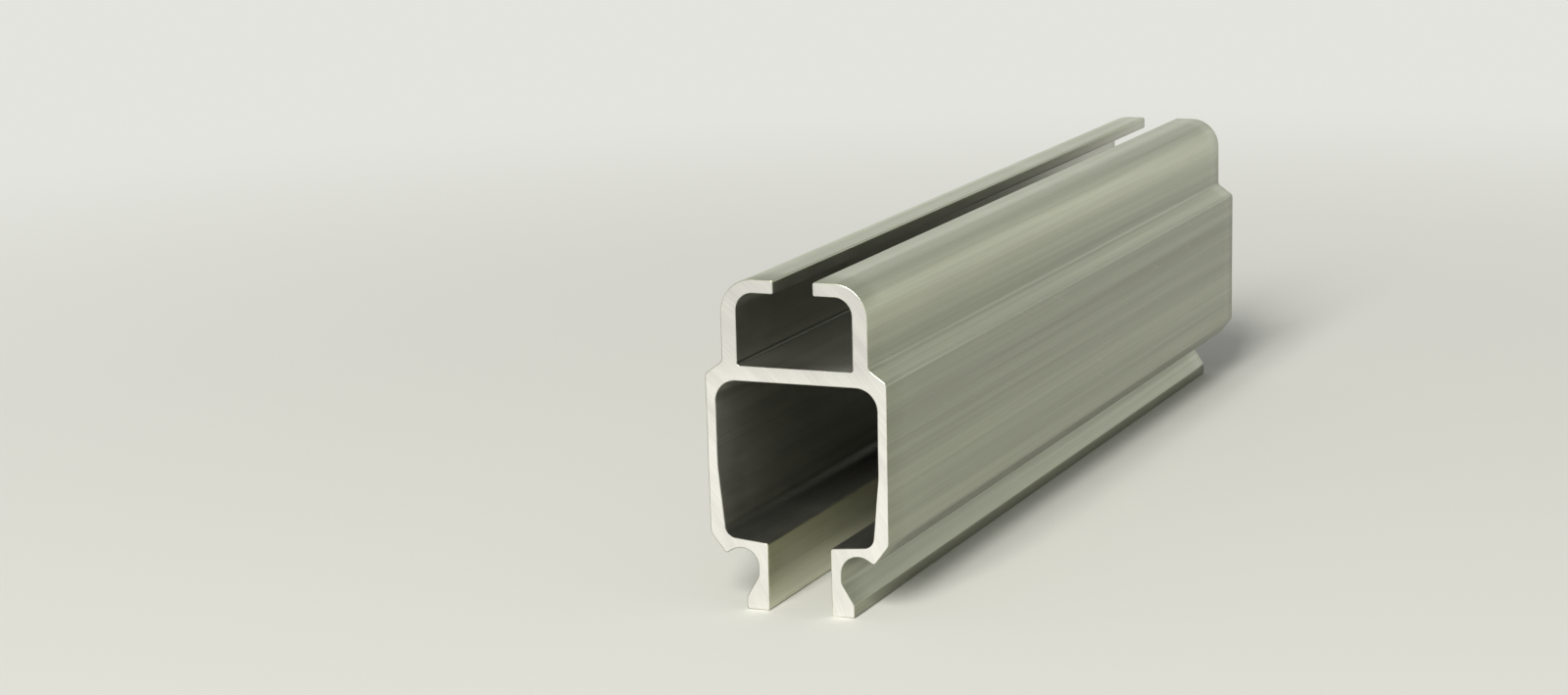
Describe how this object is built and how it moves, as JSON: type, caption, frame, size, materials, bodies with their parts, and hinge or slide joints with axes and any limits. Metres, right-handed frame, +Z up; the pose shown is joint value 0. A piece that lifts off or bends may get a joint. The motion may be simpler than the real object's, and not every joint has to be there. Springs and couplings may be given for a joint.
{
  "type": "aluminium extrusion profile",
  "caption": "Straight length of aluminium track extrusion, with a T-slot channel above its web and a slotted trolley channel on flared feet below it.",
  "frame": {"origin": "on the floor under the feet, midway between them and midway along the length", "axes": "+X across the section, +Y along the length, +Z up from the feet to the slotted lips"},
  "size_m": [0.0694, 0.435, 0.12],
  "materials": {
    "mill_aluminium": "satin mill finish, drawn along its length, with bright sawn ends"
  },
  "bodies": {
    "root": {"track_profile": "mill_aluminium"}
  },
  "joints": []
}
